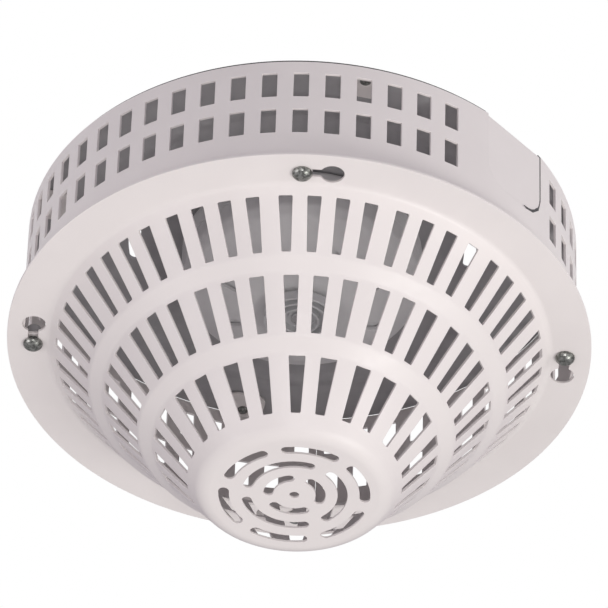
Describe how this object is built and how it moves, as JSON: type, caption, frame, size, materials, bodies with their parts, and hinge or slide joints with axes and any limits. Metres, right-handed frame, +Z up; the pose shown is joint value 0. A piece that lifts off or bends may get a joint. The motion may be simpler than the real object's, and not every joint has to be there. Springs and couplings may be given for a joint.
{
  "type": "heat detector",
  "caption": "Ceiling heat detector with a finned collector, inside a white steel guard: a perforated ring and a slotted, tapered cover on twist-off keyholes.",
  "frame": {"origin": "centre of the back plate's ceiling face", "axes": "+Z up, out of the back plate into the ceiling; the cover hangs towards -Z; bearings run from -Y towards +X, with the first cover screw at -Y"},
  "size_m": [0.24, 0.24, 0.1336],
  "materials": {
    "white_powder_coat": "smooth off-white powder coat, slightly warm",
    "grey_zinc_plate": "dull grey zinc plating",
    "dark_screw_steel": "polished dark oxide",
    "grey_moulding": "fine matt moulded grain",
    "bright_steel": "bright zinc",
    "brass": "plain turned and stamped brass",
    "spring_copper": "rolled phosphor bronze",
    "fusible_alloy": "dull cast low-melting alloy",
    "bare_aluminium": "bare turned aluminium",
    "black_rubber": "matt black rubber"
  },
  "bodies": {
    "mount": {"back_plate": "grey_zinc_plate", "ring_wall": "white_powder_coat", "conduit_knockout": "white_powder_coat", "ear_screw_1": "dark_screw_steel", "ear_screw_2": "dark_screw_steel", "ear_screw_3": "dark_screw_steel", "ear_screw_4": "dark_screw_steel", "clinch_nut_1": "grey_zinc_plate", "clinch_nut_2": "grey_zinc_plate", "clinch_nut_3": "grey_zinc_plate", "clinch_nut_4": "grey_zinc_plate", "detector_base": "grey_moulding", "base_terminal_1": "brass", "base_terminal_2": "brass", "base_terminal_3": "brass", "base_terminal_4": "brass", "terminal_screw_1": "bright_steel", "terminal_screw_2": "bright_steel", "terminal_screw_3": "bright_steel", "terminal_screw_4": "bright_steel", "base_screw_1": "bright_steel", "base_screw_2": "bright_steel", "cable_grommet": "black_rubber"},
    "cover": {"guard_cover": "white_powder_coat"},
    "cover_screw_1": {"cover_screw_1": "dark_screw_steel"},
    "cover_screw_2": {"cover_screw_2": "dark_screw_steel"},
    "cover_screw_3": {"cover_screw_3": "dark_screw_steel"},
    "cover_screw_4": {"cover_screw_4": "dark_screw_steel"},
    "head": {"head_carrier": "grey_moulding", "head_shell": "grey_moulding", "contact_blade_1": "brass", "contact_blade_2": "brass", "contact_blade_3": "brass", "contact_blade_4": "brass", "diaphragm": "spring_copper", "diaphragm_clamp": "bright_steel", "guide_bush": "brass", "fusible_slug": "fusible_alloy", "fixed_contact": "brass", "plunger_spring": "bright_steel"},
    "collector": {"plunger": "bright_steel", "plunger_clip": "bright_steel", "heat_collector": "bare_aluminium"},
    "contact_arm": {"moving_contact": "spring_copper"}
  },
  "joints": [
    {"name": "cover_twist", "type": "hinge", "parent": "mount", "child": "cover", "pos_m": [0, 0, -0.0572], "axis": [0, 0, -1], "range_deg": [0, 6.3]},
    {"name": "cover_screw_1_back_out", "type": "slide", "parent": "mount", "child": "cover_screw_1", "axis": [0, 0, -1], "range_m": [0, 0.0012]},
    {"name": "cover_screw_2_back_out", "type": "slide", "parent": "mount", "child": "cover_screw_2", "axis": [0, 0, -1], "range_m": [0, 0.0012]},
    {"name": "cover_screw_3_back_out", "type": "slide", "parent": "mount", "child": "cover_screw_3", "axis": [0, 0, -1], "range_m": [0, 0.0012]},
    {"name": "cover_screw_4_back_out", "type": "slide", "parent": "mount", "child": "cover_screw_4", "axis": [0, 0, -1], "range_m": [0, 0.0012]},
    {"name": "head_twist", "type": "hinge", "parent": "mount", "child": "head", "pos_m": [0, 0, -0.0133], "axis": [0, 0, -1], "range_deg": [0, 20]},
    {"name": "collector_drop", "type": "slide", "parent": "head", "child": "collector", "axis": [0, 0, -1], "range_m": [0, 0.003], "deforming": ["plunger_spring"]},
    {"name": "contact_arm_close", "type": "hinge", "parent": "head", "child": "contact_arm", "pos_m": [0.028, 0, -0.0164], "axis": [0, -1, 0], "range_deg": [0, 5.1]}
  ],
  "couplings": [
    {"joint": "contact_arm_close", "follows": "collector_drop", "rad_per_m": 29.6}
  ]
}
